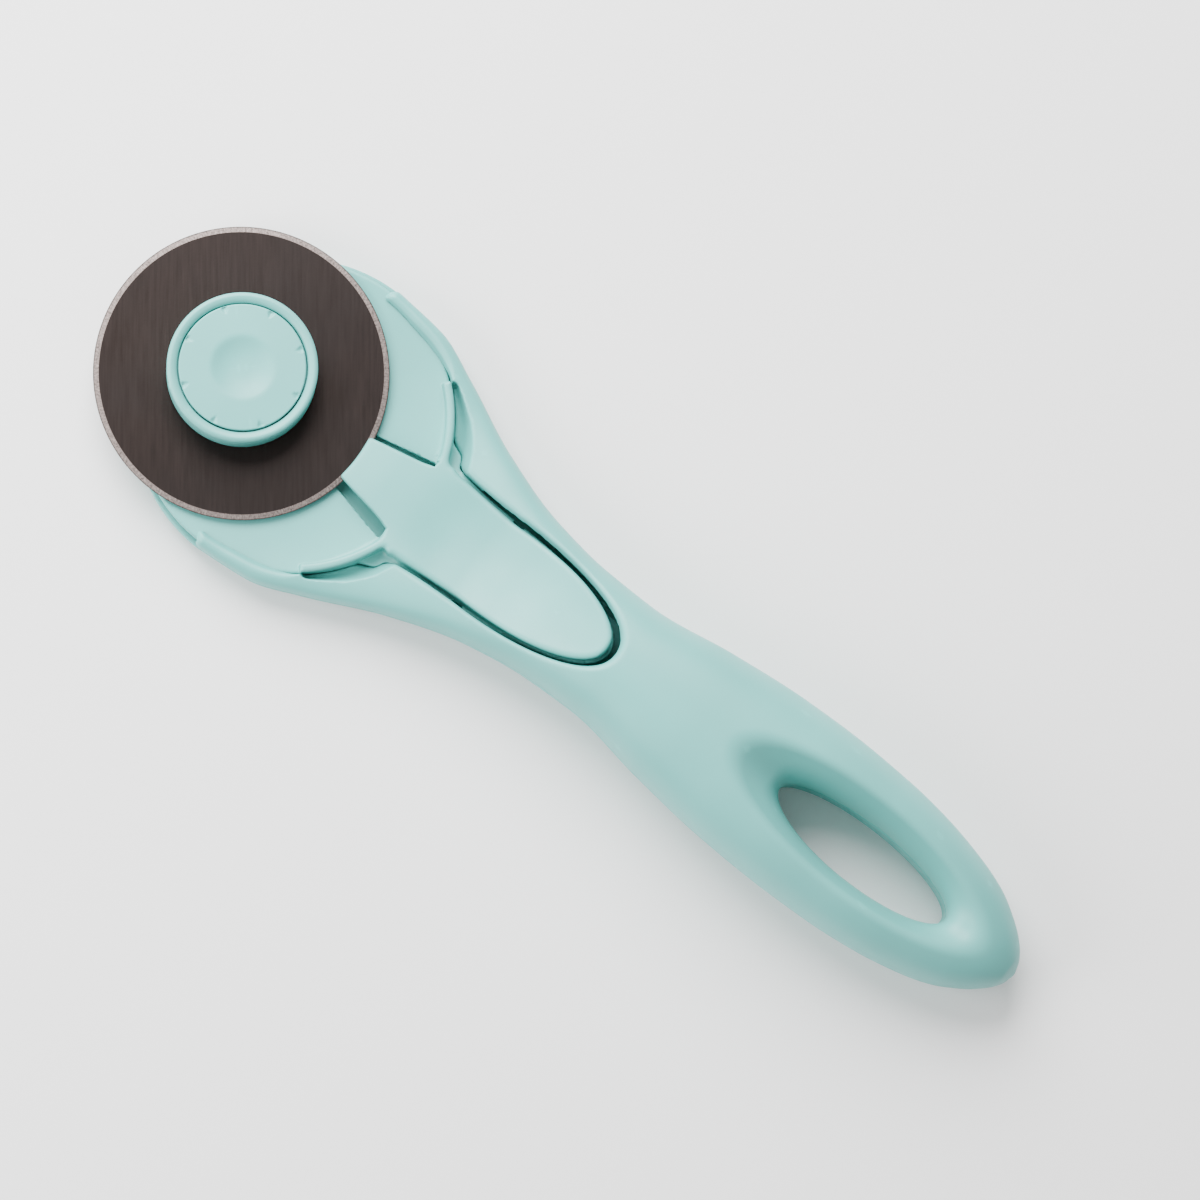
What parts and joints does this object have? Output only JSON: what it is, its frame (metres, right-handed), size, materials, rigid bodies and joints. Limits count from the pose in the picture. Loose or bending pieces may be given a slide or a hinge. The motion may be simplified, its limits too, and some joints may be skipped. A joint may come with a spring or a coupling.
{
  "type": "rotary cutter",
  "caption": "Hand rotary cutter for fabric: a round blade on a looped handle, a thumb-slid guard that covers the edge, and a knob that frees the blade.",
  "frame": {"origin": "on the plane of the back face, below the middle of the bounding box", "axes": "+X from the blade to the handle's loop, +Z out of the front face on the knob's axis, +Y across the handle; the cutter lies on its back"},
  "size_m": [0.171, 0.0498, 0.02],
  "materials": {
    "handle_plastic": "fine satin moulding",
    "guard_plastic": "smooth satin moulding",
    "blade_steel": "dark coated steel with a bright ground bevel",
    "zinc_steel": "zinc plated",
    "spring_steel": "bare spring steel",
    "nut_brass": "machined"
  },
  "bodies": {
    "handle": {"front_shell": "handle_plastic", "back_shell": "handle_plastic", "pivot_bolt": "zinc_steel", "wave_washer": "spring_steel", "detent_spring": "spring_steel", "head_screw_left": "zinc_steel", "head_screw_right": "zinc_steel", "grip_screw_front": "zinc_steel", "grip_screw_rear": "zinc_steel"},
    "guard": {"blade_guard": "guard_plastic"},
    "blade": {"blade": "blade_steel"},
    "clamp_washer": {"keyed_washer": "zinc_steel"},
    "knob": {"knob_body": "guard_plastic", "knob_cap": "guard_plastic", "knob_nut": "nut_brass"}
  },
  "joints": [
    {"name": "guard_slide", "type": "slide", "parent": "handle", "child": "guard", "axis": [-1, 0, 0], "range_m": [0, 0.01], "deforming": ["detent_spring"]},
    {"name": "blade_spin", "type": "hinge", "parent": "handle", "child": "blade", "pos_m": [-0.063, 0, 0.00595], "axis": [0, 0, 1], "continuous": true},
    {"name": "knob_lift", "type": "slide", "parent": "handle", "child": "clamp_washer", "axis": [0, 0, 1], "range_m": [0, 0.002]},
    {"name": "knob_turn", "type": "hinge", "parent": "clamp_washer", "child": "knob", "pos_m": [-0.063, 0, 0.0097], "axis": [0, 0, 1], "range_deg": [0, 720]}
  ],
  "couplings": [
    {"joint": "knob_lift", "follows": "knob_turn", "m_per_rad": 0.00015915}
  ]
}
